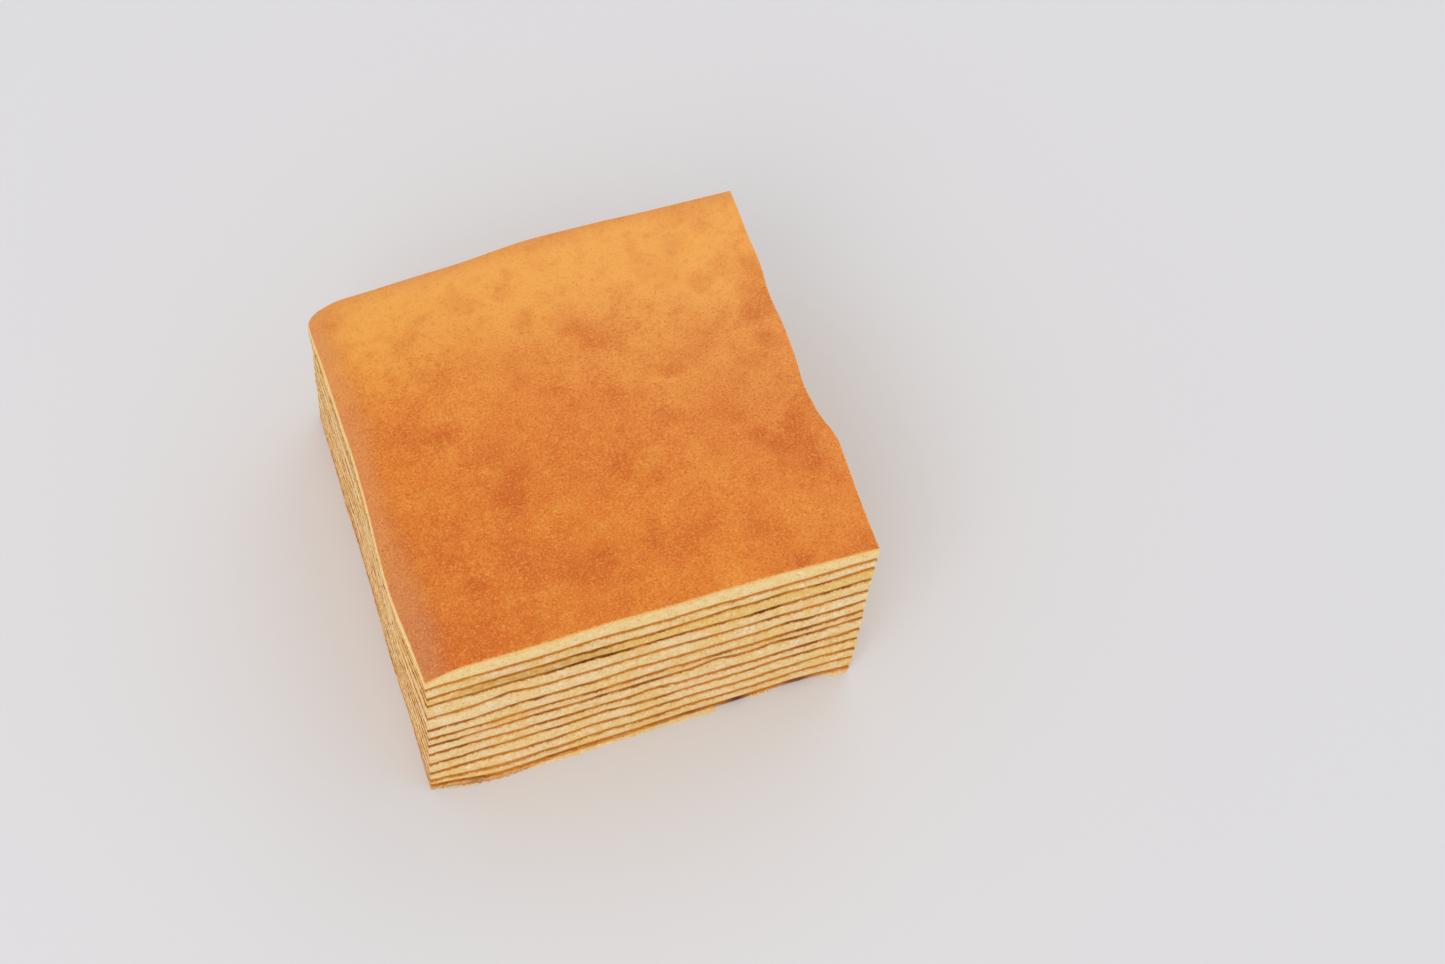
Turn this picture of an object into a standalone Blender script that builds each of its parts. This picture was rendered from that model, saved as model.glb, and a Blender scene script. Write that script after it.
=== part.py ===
"""A square block of baked layer cake, a quarter of a larger square cake.

Thirteen thin layers of pale crumb lie on one another, each browned on top before the
next was poured, and the last one carries the smooth golden crust. The front faces -Y
and the left side faces -X. The front and right sides are knife cuts. At the left and
back sides, once the rim of the whole cake, the crust rolls over a little.

The block stands on its flat underside, with the origin at the middle of the base.
Lengths are written in millimetres and turned into metres as the meshes are made.
"""
import math
import random

import bmesh
import bpy
from mathutils import Vector, noise

MM = 0.001
BLOCK_NAME = "layer_cake_block"

# The plan, corner by corner: front left, front right, back right, back left. The cuts
# lean, so the foot lies further forward and to the left than the top.
TOP_CORNERS = ((-46.8, -47.2), (50.3, -46.1), (51.7, 49.3), (-49.4, 50.3))
FOOT_CORNERS = ((-50.3, -50.1), (45.7, -51.6), (47.6, 51.8), (-50.7, 52.5))
RIM_CORNER_RADIUS = 5.0         # the one corner that was the tin's own

# Height of the top of each layer along the front, from the lowest layer up, at the
# left end, in the middle and at the right end.
LAYER_TOPS = (
    (1.8, 1.7, 1.9),
    (4.1, 4.95, 6.3),
    (7.3, 8.8, 10.1),
    (11.5, 12.85, 14.1),
    (15.9, 16.45, 17.5),
    (20.0, 20.75, 22.1),
    (23.0, 23.5, 24.8),
    (26.9, 27.6, 28.2),
    (32.2, 32.35, 32.25),
    (37.5, 36.8, 36.25),
    (40.8, 40.45, 40.6),
    (44.5, 44.15, 43.5),
    (47.0, 47.0, 47.0),
)
LAYERS = len(LAYER_TOPS)
HEIGHT = LAYER_TOPS[-1][1]
GAP = 0.3                       # clearance between two layers' solids

# The crust stands higher than its corners, most of all at the left.
CROWN_LEFT = 2.9
CROWN_RIGHT = 1.9
FRONT_RIGHT_DIP = 1.8           # the cut corner at the front right is lower again
LEFT_ROLL = 2.7                 # how far the crust rolls down at the left rim
BACK_ROLL = 0.8                 # and at the back rim
ROLL_WIDTH = 9.0
CORNER_DROOP = 4.2              # more of it at the tin's corner
CORNER_DROOP_WIDTH = 27.0
BACK_SAG = 2.2                  # and along the back near that corner
BACK_SAG_PLACE = 22.0
BACK_SAG_WIDTH = 20.0
BACK_SAG_DEPTH = 24.0
DROOP_POWER = 1.6               # lower layers follow the rim's droop less
INNER_ROLL = 0.2                # share of the left roll that layers under the crust take

# Bubbles and ripples that show in the front: the layer they lift, the place along the
# front from the left, their rise and their half width.
FRONT_HUMPS = (
    (11, 0.67, 0.5, 3.5), (11, 0.79, 0.4, 3.5),
    (10, 0.04, 0.3, 2.5), (10, 0.36, 0.3, 4.0), (10, 0.71, -0.25, 3.0), (10, 0.85, 0.2, 3.0),
    (9, 0.175, 0.95, 3.5), (9, 0.55, 0.2, 4.0),
    (8, 0.10, -0.3, 4.0), (8, 0.45, 0.3, 4.5), (8, 0.81, 0.6, 3.0),
    (7, 0.54, 0.25, 4.0),
    (6, 0.39, 0.3, 2.5), (6, 0.65, 0.75, 3.0), (6, 0.79, 0.45, 3.0),
    (5, 0.21, -0.35, 3.5), (5, 0.52, 0.8, 3.5), (5, 0.995, 0.4, 3.0),
    (4, 0.07, -0.4, 4.0), (4, 0.40, 0.45, 3.0), (4, 0.80, 0.7, 5.5),
    (3, 0.13, 0.3, 4.0), (3, 0.27, -0.5, 6.0), (3, 0.40, 0.25, 3.0), (3, 0.52, 0.35, 4.0),
    (3, 0.80, 0.2, 4.0),
    (2, 0.14, 0.3, 4.0), (2, 0.30, -0.3, 5.0), (2, 0.42, 0.3, 4.0),
    (1, 0.15, 0.3, 8.0),
)
SIDES = ("front", "right", "back", "left")
HUMPS_PER_SIDE = 3
HUMP_RISE = (-0.4, 0.8)
HUMP_HALF_WIDTH = (3.0, 6.0)
HUMP_DEPTH = 11.0               # how far a hump reaches into the block
SLOW_WAVE = (0.35, 34.0)        # rise and wavelength of the layers' slow waves
QUICK_WAVE = (0.12, 11.0)

# The cut sides: layers stand a little in or out of line and bulge between the skins.
LAYER_STEP = 0.22
CUT_WANDER = 0.25
CUT_WANDER_LENGTH = 13.0
EDGE_BULGE = 0.28
LEFT_BELLY = ((1.6, 0.22, 0.20), (-0.6, 1.0, 0.12))  # outwards by how much, where, how long
BACK_WAIST = ((-1.6, 0.16, 0.25),)     # the back runs in near the tin's corner
RIGHT_STEP = (1.9, 0.27, 0.10)         # the right cut steps in: how far, where, how soon
RIGHT_WAVES = ((-0.55, 0.43, 0.05), (-0.45, 0.68, 0.06), (0.25, 0.78, 0.05))
FRONT_FOOT = ((1.7, 0.13, 0.10), (1.0, 0.30, 0.16), (-1.15, 0.88, 0.22))  # only low down
FRONT_FOOT_HEIGHT = 14.0
FOOT_SHARE = 0.1                       # how much of all these the foot still has

PLAN_CELLS = 7                  # grid cells across a layer
RIM_CELL = 0.055                # size of the outermost cells, as a share of the side
RIM_CUTS = 3                    # further cuts through the outermost cells
SEED = 11

CRUMB_COLOUR = (0.80, 0.60, 0.31, 1.0)
CRUMB_ROUGHNESS = 0.85
DARK_CRUMB_COLOUR = (0.72, 0.50, 0.20, 1.0)
DARK_LAYER = 11                 # the layer that baked yellower than the rest
CRUST_COLOUR = (0.74, 0.26, 0.05, 1.0)
CRUST_ROUGHNESS = 0.45


def bell(distance, width):
    """A smooth hump: 1 at no distance, fading out past the width."""
    return math.exp(-(distance / width) ** 2)


def edge_curve(distance, width):
    """Falls from 1 at an edge to 0 at the width, steepest at the edge itself."""
    return max(0.0, 1 - distance / width) ** 2


def plan_point(u, v, height):
    """The corner-to-corner plan at a height; u runs left to right, v front to back."""
    share = min(max(height / HEIGHT, 0.0), 1.0)
    corners = [Vector(foot).lerp(Vector(top), share) for foot, top in zip(FOOT_CORNERS, TOP_CORNERS)]
    front = corners[0].lerp(corners[1], u)
    back = corners[3].lerp(corners[2], u)
    return front.lerp(back, v)


def side_places(u, v):
    """For each side, how far along it a point lies and how deep behind it, in mm."""
    across = TOP_CORNERS[1][0] - TOP_CORNERS[0][0]
    deep = TOP_CORNERS[3][1] - TOP_CORNERS[0][1]
    return {
        "front": (u * across, v * deep),
        "back": (u * across, (1 - v) * deep),
        "left": (v * deep, u * across),
        "right": (v * deep, (1 - u) * across),
    }


def list_humps():
    """Every hump as layer, side, place along the side, rise and half width."""
    across = TOP_CORNERS[1][0] - TOP_CORNERS[0][0]
    humps = [(layer, "front", along * across, rise, width) for layer, along, rise, width in FRONT_HUMPS]
    draw = random.Random(SEED)
    for layer in range(1, LAYERS):
        for side in SIDES[1:]:
            for _ in range(HUMPS_PER_SIDE):
                along = draw.uniform(0.0, across)
                rise = draw.uniform(*HUMP_RISE)
                humps.append((layer, side, along, rise, draw.uniform(*HUMP_HALF_WIDTH)))
    return humps


HUMPS = list_humps()


def crown(u, v):
    """How far the crust stands above its front corners' height."""
    rise = CROWN_LEFT + (CROWN_RIGHT - CROWN_LEFT) * u
    return rise - FRONT_RIGHT_DIP * bell(1 - u, 0.14) * bell(v, 0.30)


def droop(level, u, v):
    """How far a layer's top rolls down at the rim of the whole cake."""
    places = side_places(u, v)
    from_left = places["left"][1]
    from_back = places["back"][1]
    left_roll = LEFT_ROLL * (1.0 if level == LAYERS else INNER_ROLL)
    roll = left_roll * edge_curve(from_left, ROLL_WIDTH) + BACK_ROLL * edge_curve(from_back, ROLL_WIDTH)
    corner = CORNER_DROOP * edge_curve(math.hypot(from_left, from_back), CORNER_DROOP_WIDTH)
    sag = BACK_SAG * bell(from_left - BACK_SAG_PLACE, BACK_SAG_WIDTH)
    return roll + corner + sag * edge_curve(from_back, BACK_SAG_DEPTH)


def level_height(level, u, v):
    """Height of the top of a layer at a place in the plan; level 0 is the flat base."""
    if level == 0:
        return 0.0
    left, middle, right = LAYER_TOPS[level - 1]
    straight = left + (right - left) * u
    height = straight + (middle - (left + right) / 2) * 4 * u * (1 - u)
    places = side_places(u, v)
    if level < LAYERS:
        for layer, side, along, rise, width in HUMPS:
            if layer == level:
                place, depth = places[side]
                height += rise * bell(place - along, width) * bell(depth, HUMP_DEPTH)
    else:
        height += crown(u, v)
    across, deep = places["front"]
    inward = 1 - 0.7 * bell(deep, 12.0)
    for rise, length in (SLOW_WAVE, QUICK_WAVE):
        spot = Vector((across / length, deep / length, level * 5.7))
        height += rise * inward * min(level / 2, 1.0) * noise.noise(spot)
    return height - droop(level, u, v) * (height / HEIGHT) ** DROOP_POWER


def cut_offset(layer, side, along):
    """How far a layer's edge stands out from the plane of its side."""
    turn = SIDES.index(side) + 1
    step = random.Random(SEED * layer + turn).uniform(-LAYER_STEP, LAYER_STEP)
    spot = Vector((along / CUT_WANDER_LENGTH, layer * 0.35, turn * 9.1))
    return step + CUT_WANDER * noise.noise(spot)


def side_bend(side, along):
    """How far a whole side bends outwards at a share of its length."""
    if side == "right":
        inward, start, length = RIGHT_STEP
        share = min(max((along - start) / length, 0.0), 1.0)
        step = inward * share * share * (3 - 2 * share)
        return sum(out * bell(along - where, width) for out, where, width in RIGHT_WAVES) - step
    bends = {"left": LEFT_BELLY, "back": BACK_WAIST}.get(side, ())
    return sum(out * bell(along - where, width) for out, where, width in bends)


def round_rim_corner(point, corner):
    """Pulls a point near the tin's corner in to the corner's radius."""
    radius = RIM_CORNER_RADIUS
    centre = corner + Vector((radius, -radius))
    reach = point - centre
    if reach.x < 0 and reach.y > 0 and reach.length > radius:
        return centre + reach.normalized() * radius
    return point


def place_vertex(layer, u, v, share):
    """Where a point of a layer goes; share is 0 at its underside and 1 at its top."""
    low = level_height(layer - 1, u, v) + (GAP / 2 if layer > 1 else 0.0)
    high = level_height(layer, u, v) - (GAP / 2 if layer < LAYERS else 0.0)
    height = low + (high - low) * share
    point = plan_point(u, v, height)
    places = side_places(u, v)
    bulge = EDGE_BULGE * (1 - (2 * share - 1) ** 2)
    bend_share = FOOT_SHARE + (1 - FOOT_SHARE) * height / HEIGHT
    outward = {}
    for side, along in (("front", u), ("right", v), ("back", u), ("left", v)):
        offset = cut_offset(layer, side, places[side][0])
        outward[side] = bulge + offset + bend_share * side_bend(side, along)
    low_share = max(0.0, 1 - height / FRONT_FOOT_HEIGHT) ** 2
    outward["front"] += low_share * sum(out * bell(u - where, width) for out, where, width in FRONT_FOOT)
    if v == 0.0:
        point.y -= outward["front"]
    if v == 1.0:
        point.y += outward["back"]
    if u == 0.0:
        point.x -= outward["left"]
    if u == 1.0:
        point.x += outward["right"]
    point = round_rim_corner(point, plan_point(0.0, 1.0, height))
    return Vector((point.x, point.y, height)) * MM


def spread_line(share):
    """Moves an even grid line so that the outermost cells are narrow."""
    cell = 1 / PLAN_CELLS
    if share < cell:
        return share / cell * RIM_CELL
    if share > 1 - cell:
        return 1 - (1 - share) / cell * RIM_CELL
    return RIM_CELL + (share - cell) / (1 - 2 * cell) * (1 - 2 * RIM_CELL)


def runs_along_rim(edge):
    """True for the long edges of the outermost cells, other than the corner ones."""
    inner = 0.5 - 1 / PLAN_CELLS
    start, end = (vertex.co for vertex in edge.verts)
    for along, across in ((0, 1), (1, 0)):
        level = abs(start[across] - end[across]) < 1e-6
        outside = abs(start[across]) > inner - 1e-3
        off_corner = max(abs(start[along]), abs(end[along])) < inner + 1e-3
        if level and outside and off_corner:
            return True
    return False


def slab_mesh():
    """A flat slab of unit size with finer edges, shared by all layers' shapes."""
    shape = bmesh.new()
    bmesh.ops.create_grid(shape, x_segments=PLAN_CELLS, y_segments=PLAN_CELLS, size=0.5)
    rim = [edge for edge in shape.edges if runs_along_rim(edge)]
    bmesh.ops.subdivide_edges(shape, edges=rim, cuts=RIM_CUTS, quad_corner_type="FAN")
    bmesh.ops.triangulate(shape, faces=shape.faces[:])
    bmesh.ops.solidify(shape, geom=shape.faces[:], thickness=1.0)
    bmesh.ops.recalc_face_normals(shape, faces=shape.faces[:])
    lowest = min(vertex.co.z for vertex in shape.verts)
    bmesh.ops.translate(shape, verts=shape.verts[:], vec=(0.5, 0.5, -lowest))
    upright = [edge for edge in shape.edges if abs(edge.verts[0].co.z - edge.verts[1].co.z) > 0.5
               and (edge.verts[0].co - edge.verts[1].co).to_2d().length < 1e-6]
    bmesh.ops.subdivide_edges(shape, edges=upright, cuts=1)
    bmesh.ops.triangulate(shape, faces=shape.faces[:])
    return shape


def make_layer(layer, material, collection):
    """One layer of the cake as a closed solid."""
    shape = slab_mesh()
    for vertex in shape.verts:
        u = round(spread_line(vertex.co.x), 6)
        v = round(spread_line(vertex.co.y), 6)
        vertex.co = place_vertex(layer, u, v, vertex.co.z)
    bmesh.ops.recalc_face_normals(shape, faces=shape.faces[:])
    mesh = bpy.data.meshes.new(f"layer_{layer:02d}")
    shape.to_mesh(mesh)
    shape.free()
    mesh.materials.append(material)
    piece = bpy.data.objects.new(f"layer_{layer:02d}", mesh)
    collection.objects.link(piece)
    return piece


def make_material(name, colour, roughness):
    """A plain finish for one kind of layer."""
    material = bpy.data.materials.new(name)
    material.use_nodes = True
    shader = material.node_tree.nodes["Principled BSDF"]
    shader.inputs["Base Color"].default_value = colour
    shader.inputs["Roughness"].default_value = roughness
    shader.inputs["Metallic"].default_value = 0.0
    return material


def main():
    for old in list(bpy.data.objects):
        bpy.data.objects.remove(old)
    collection = bpy.data.collections.new(BLOCK_NAME)
    bpy.context.scene.collection.children.link(collection)
    for layer in range(1, LAYERS + 1):
        if layer == LAYERS:
            material = make_material("golden crust", CRUST_COLOUR, CRUST_ROUGHNESS)
        elif layer == DARK_LAYER:
            material = make_material(f"dark crumb {layer:02d}", DARK_CRUMB_COLOUR, CRUMB_ROUGHNESS)
        else:
            material = make_material(f"crumb {layer:02d}", CRUMB_COLOUR, CRUMB_ROUGHNESS)
        make_layer(layer, material, collection)


if __name__ == "__main__":
    main()
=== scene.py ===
"""Looks of a square block of baked layer cake, a quarter of a larger square cake.

Every layer of pale crumb is modelled as a thin slab with its browned skin on top, and
the last one carries the smooth golden crust. The slabs follow the frame's own solids.
Plan sizes and heights are in millimetres here and become metres in each mesh.
"""

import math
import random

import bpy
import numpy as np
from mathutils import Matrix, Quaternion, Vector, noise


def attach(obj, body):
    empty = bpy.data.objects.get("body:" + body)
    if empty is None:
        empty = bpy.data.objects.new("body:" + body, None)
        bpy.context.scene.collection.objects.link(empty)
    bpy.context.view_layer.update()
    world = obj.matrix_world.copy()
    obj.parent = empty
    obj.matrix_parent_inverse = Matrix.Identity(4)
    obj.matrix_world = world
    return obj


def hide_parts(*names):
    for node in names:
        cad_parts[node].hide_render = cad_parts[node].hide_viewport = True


bl_info = {
    "name": "Layer Cake Block",
    "version": (1, 0, 0),
    "blender": (4, 5, 0),
    "location": "View3D > Sidebar > Layer Cake",
    "description": "Builds a cut block of thin layered cake with its crust, crumbs and stage",
    "category": "Add Mesh",
}

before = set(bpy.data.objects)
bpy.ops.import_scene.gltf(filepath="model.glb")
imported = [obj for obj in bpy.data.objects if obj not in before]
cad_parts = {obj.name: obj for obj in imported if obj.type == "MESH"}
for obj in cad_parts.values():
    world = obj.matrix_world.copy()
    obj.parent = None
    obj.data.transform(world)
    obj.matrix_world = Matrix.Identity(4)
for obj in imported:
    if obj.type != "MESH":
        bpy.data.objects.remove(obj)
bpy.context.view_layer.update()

MM = 0.001

# The plan, corner by corner: front left, front right, back right, back left.
TOP_CORNERS = ((-46.8, -47.2), (50.3, -46.1), (51.7, 49.3), (-49.4, 50.3))
FOOT_CORNERS = ((-50.3, -50.1), (45.7, -51.6), (47.6, 51.8), (-50.7, 52.5))
WIDTH = TOP_CORNERS[1][0] - TOP_CORNERS[0][0]
DEPTH = TOP_CORNERS[3][1] - TOP_CORNERS[0][1]
RIM_CORNER = (9.0, 5.0)  # how far the tin's corner rounds, along the back and the left

# Height of each layer's top along the front, from the lowest up: left, middle and right.
LAYER_TOPS = (
    (1.8, 1.7, 1.9),
    (4.1, 4.95, 6.3),
    (7.3, 8.8, 10.1),
    (11.5, 12.85, 14.1),
    (15.9, 16.45, 17.5),
    (20.0, 20.75, 22.1),
    (23.0, 23.5, 24.8),
    (26.9, 27.6, 28.2),
    (32.2, 32.35, 32.25),
    (37.5, 36.8, 36.25),
    (40.8, 40.45, 40.6),
    (44.5, 44.15, 43.5),
    (47.0, 47.0, 47.0),
)
LAYERS = len(LAYER_TOPS)
HEIGHT = LAYER_TOPS[-1][1]

# How the crust stands above its corners and rolls down at the rim of the whole cake.
CROWN_LEFT = 2.9
CROWN_RIGHT = 1.9
FRONT_RIGHT_DIP = 1.8
FRONT_RIGHT_DIP_REACH = (0.14, 0.30)  # shares of the width and of the depth
LEFT_ROLL = 2.7
BACK_ROLL = 0.8
ROLL_WIDTH = 9.0
CORNER_DROOP = 4.0
CORNER_DROOP_WIDTH = 14.0
BACK_SAG = 2.2
BACK_SAG_PLACE = 22.0
BACK_SAG_WIDTH = 20.0
BACK_SAG_DEPTH = 24.0
DROOP_POWER = 1.6
INNER_ROLL = 0.2  # share of the left roll that the layers below the crust take

# Bubbles and ripples in the front: the layer they lift, their place, rise and half width.
FRONT_HUMPS = (
    (11, 0.67, 0.5, 3.5), (11, 0.79, 0.4, 3.5),
    (10, 0.04, 0.3, 2.5), (10, 0.36, 0.3, 4.0), (10, 0.71, -0.25, 3.0), (10, 0.85, 0.2, 3.0),
    (9, 0.175, 0.95, 3.5), (9, 0.55, 0.2, 4.0),
    (8, 0.10, -0.3, 4.0), (8, 0.45, 0.3, 4.5), (8, 0.81, 0.6, 3.0),
    (7, 0.54, 0.25, 4.0),
    (6, 0.39, 0.3, 2.5), (6, 0.65, 0.75, 3.0), (6, 0.79, 0.45, 3.0),
    (5, 0.21, -0.35, 3.5), (5, 0.52, 0.8, 3.5), (5, 0.995, 0.4, 3.0),
    (4, 0.07, -0.4, 4.0), (4, 0.40, 0.45, 3.0), (4, 0.80, 0.7, 5.5),
    (3, 0.13, 0.3, 4.0), (3, 0.27, -0.5, 6.0), (3, 0.40, 0.25, 3.0), (3, 0.52, 0.35, 4.0),
    (3, 0.80, 0.2, 4.0),
    (2, 0.14, 0.3, 4.0), (2, 0.30, -0.3, 5.0), (2, 0.42, 0.3, 4.0),
    (1, 0.15, 0.3, 8.0),
)
SIDES = ("front", "right", "back", "left")
HUMPS_PER_SIDE = 3
HUMP_RISE = (-0.4, 0.8)
HUMP_HALF_WIDTH = (3.0, 6.0)
HUMP_DEPTH = 11.0
SLOW_WAVES = ((0.35, 34.0), (0.12, 11.0))  # rise and wavelength
SLOW_WAVE_SHIFT = 5.7  # how far the noise moves on per layer
CALM_FRONT = (0.7, 12.0)  # how much calmer the slow waves are at the front, and how deep
FINE_WAVES = ((0.12, 4.2), (0.08, 1.6))  # below the crust only
FINE_WAVE_SHIFT = 3.1
FINE_WAVE_START = 40

# The sides: how far each layer stands in or out of line, and how whole sides bend.
LAYER_STEP = 0.07
CUT_WANDER = 0.25
CUT_WANDER_LENGTH = 13.0
CUT_WANDER_SHIFT = (0.35, 9.1)  # how far the noise moves on per layer and per side
# Bends of whole sides: how far out, the place and the width along the side.
LEFT_BELLY = ((1.6, 0.22, 0.20), (-0.6, 1.0, 0.12))
BACK_WAIST = ((-1.6, 0.16, 0.25),)
RIGHT_STEP = (1.9, 0.27, 0.10)
RIGHT_WAVES = ((-0.55, 0.43, 0.05), (-0.45, 0.68, 0.06), (0.25, 0.78, 0.05))
FRONT_FOOT = ((1.7, 0.13, 0.10), (1.0, 0.30, 0.16), (-1.15, 0.88, 0.22))
FRONT_FOOT_HEIGHT = 14.0
FOOT_SHARE = 0.1  # share of the sides' bends that the foot takes
NEIGHBOUR_BLEND = 0.7  # share of a layer over which it meets its neighbour's edge
TOP_EDGE_ROUND = 0.10  # how far the cut leans back at the crust
LEFT_LIP = 0.4  # how far the joint under the last layer stands out at the left
EDGE_DEPTH = 11.0  # how deep behind a side its bends and steps fade out
BACK_RIM_MARGIN = 3.0  # how much narrower the dull rim is at the back
CUT_FACE_FADE = 0.5  # how near a skin the relief of the cut starts
NEARLY = 1e-4  # how near a face of the unit slab counts as on it

# The foot of the front: where the lowest layer gets painted shade for the undercut's shadow
# (place, half width, share), its ragged stretch and that one's ripples (share, length, noise
# shift), the thin flaps that the knife pressed out (place, reach) and the crumbs (place, how
# far out, radius).
PAINTED_UNDERCUT_SHADES = (
    (0.725, 0.030, 1.0), (0.875, 0.032, 0.85), (0.625, 0.025, 0.4), (0.54, 0.02, 0.25),
    (0.10, 0.020, 0.4),
)
# Painted shade only on the front face, this far in as a share of the depth.
PAINTED_SHADE_DEPTH = 0.02
FRINGE = 0.38
FRINGE_END = 0.24
FRINGE_FADE = 0.05
FRINGE_POWER = 1.5
FRINGE_RIPPLES = ((1.0, 0.9, 77.0), (0.8, 0.45, 81.0))
FOOT_FLAPS = (
    ((0.215, 0.1), (0.235, 0.5), (0.30, 0.7), (0.40, 0.65), (0.50, 0.75), (0.60, 0.95),
     (0.665, 1.15), (0.672, 0.85)),
    ((0.942, 0.3), (0.955, 1.0), (0.985, 1.1), (0.999, 0.6)),
)
FLAP_ROOT = -1.2  # how far out a flap starts, inside the lowest layer
FLAP_LEAST = 0.05
FLAP_THICKNESS = 0.34
FLAP_LIP = 0.04
FLAP_CELLS = 420  # cells along the whole front
FLAP_ROWS = 12
FOOT_CRUMBS = (
    (0.764, 0.15, 0.34), (0.772, 0.25, 0.30), (0.781, 0.22, 0.36), (0.790, 0.30, 0.30),
    (0.798, 0.20, 0.40), (0.030, 0.10, 0.30), (0.042, 0.18, 0.26), (0.055, 0.20, 0.32),
    (0.068, 0.22, 0.26), (0.079, 0.25, 0.32), (0.090, 0.18, 0.26), (0.104, 0.20, 0.28),
    (0.999, -0.10, 0.42),
)
CRUMB_SINK = 0.62  # height of a crumb's middle, as a share of its radius
CRUMB_STRETCH = (1.2, 1.0, 0.75)
CRUMB_LUMPS = ((0.34, 1.0), (0.16, 3.1))  # how high the lumps are and how close
SEED = 11

# The meshes: cells along the edge of a hidden sheet and of the crust, rings up a cut side.
COARSE_CELLS = 8
CRUST_CELLS = 240
CRUST_RINGS = 16
FEWEST_RINGS = 8
WEIGHT_STEPS = 8
SMOOTH_ANGLE = math.radians(62)

# The relief: the size of its bumps in mm, and how soon the crust's relief starts at an edge.
CUT_BUMPS = 2.4
PORE_BUMPS = 0.8
CRUST_DIMPLES = 9.0
CRUST_EDGE_FADE = 0.02

# The stage, in metres.
FLOOR_SIZE = 40.0
WINDOW_PLACE = (-0.72, -0.78, 1.00)
FILL_PLACE = (0.65, 0.75, 0.95)
LIGHT_SIZE = 0.9
ROOM_COLOUR = (1.0, 0.995, 1.0, 1.0)
SENSOR_WIDTH = 36.0
NEAR_CLIP = 0.01


def shade(red, green, blue):
    """A colour as it looks on a screen, 0 to 255, turned into Blender's linear values."""
    values = []
    for part in (red, green, blue):
        part = part / 255
        values.append(part / 12.92 if part <= 0.04045 else ((part + 0.055) / 1.055) ** 2.4)
    return (*values, 1.0)


def number_setting(name, value, description, **rest):
    """A setting for one number."""
    return bpy.props.FloatProperty(name=name, default=value, description=description, **rest)


def size_setting(name, millimetres, description, least=0.0):
    """A setting for a length."""
    return number_setting(
        name, millimetres * MM, description, min=least * MM, unit="LENGTH", precision=5)


def colour_setting(name, screen_colour, description):
    """A setting for a colour, given as it looks on a screen."""
    return bpy.props.FloatVectorProperty(
        name=name, subtype="COLOR", size=4, default=shade(*screen_colour), min=0, max=1,
        description=description)


class LayerCakeSizes(bpy.types.PropertyGroup):
    """Sizes of the fine detail on the cut layers and the crust."""

    wall_cells: bpy.props.IntProperty(
        name="Cells Along a Side", default=400, min=80, max=480,
        description="How many mesh cells run along each side of a layer")
    wall_cell: size_setting("Wall Cell", 0.28, "Height of a mesh cell on a cut side", least=0.1)
    bulge: size_setting("Edge Bulge", 0.13, "How far a layer's cut edge swells between two skins")
    notch: size_setting("Skin Notch", 0.12, "How far the browned skins lie back at a cut face")
    notch_width: size_setting("Notch Width", 0.45, "How soon the cut recovers beside a skin")
    crumb_relief: size_setting("Crumb Relief", 0.20, "Depth of the uneven cut through the crumb")
    pore_relief: size_setting("Pore Relief", 0.16, "Depth of the small pores in the crumb")
    crust_relief: size_setting("Crust Relief", 0.22, "Depth of the slow dimples in the crust")


class LayerCakeColours(bpy.types.PropertyGroup):
    """Colours of the crumb, the skins, the crust and the stage."""

    crumb: colour_setting("Crumb", (252, 222, 168), "Pale crumb of most layers")
    butter: colour_setting("Butter Crumb", (246, 204, 116), "Yellower crumb, in patches")
    # Painted light: brighter crumb for the extra light that the top layer's sides catch.
    bright: colour_setting("Bright Crumb", (255, 222, 152), "Brighter crumb under the crust")
    speck: colour_setting("Light Specks", (255, 244, 214), "Light specks in the crumb")
    grain: colour_setting("Light Grain", (255, 247, 224), "The finest light grain of the crumb")
    tan_left: colour_setting("Tanned Left", (222, 155, 100), "Crumb browned through at the left")
    tan_right: colour_setting("Tanned Right", (207, 122, 52), "Crumb browned through at the right")
    dull: colour_setting("Dull Crumb", (188, 138, 62), "Crumb that baked longer at the left")
    skin: colour_setting("Skin", (198, 113, 22), "Lightly browned skin between two layers")
    glow: colour_setting("Skin Glow", (230, 164, 68), "Where the browning sinks in below a skin")
    dark_skin: colour_setting("Dark Skin", (124, 60, 8), "Deeply browned skin")
    # Painted shade: a dark colour in place of the shadow in the undercut at the foot.
    painted_undercut_shade: colour_setting("Scorch", (122, 62, 22), "The scorched stretches of the lowest layer")
    gold: colour_setting("Golden Crust", (243, 167, 66), "The crust where it baked lightest")
    amber: colour_setting("Amber Crust", (225, 126, 37), "The crust's main colour")
    # Partly painted sheen: the paler crust towards the right also stands in for soft light there.
    pale_crust_and_sheen: colour_setting("Pale Crust", (250, 182, 112), "The paler crust towards the right")
    toast: colour_setting("Toasted Crust", (201, 89, 9), "Darker spots and the toasted front left")
    rim: colour_setting("Rim", (204, 115, 44), "The duller crust along the rim of the whole cake")
    pink_rim: colour_setting("Pink Rim", (226, 156, 98), "The paler strip right at the rim")
    dull_rim: colour_setting("Dull Rim", (178, 104, 72), "The rim's darker stretch, front left")
    # Partly painted glints: this fine light grain also stands in for tiny specular sparkles.
    light_dust_and_glints: colour_setting("Light Dust", (248, 174, 80), "The finest light grain of the crust")
    dark_dust: colour_setting("Dark Dust", (190, 86, 6), "The finest dark grain of the crust")
    edge: colour_setting("Crust Edge", (252, 198, 112), "Where the crust fades into a cut")
    floor: colour_setting("Floor", (224, 223, 225), "The plain pale floor")


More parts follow.
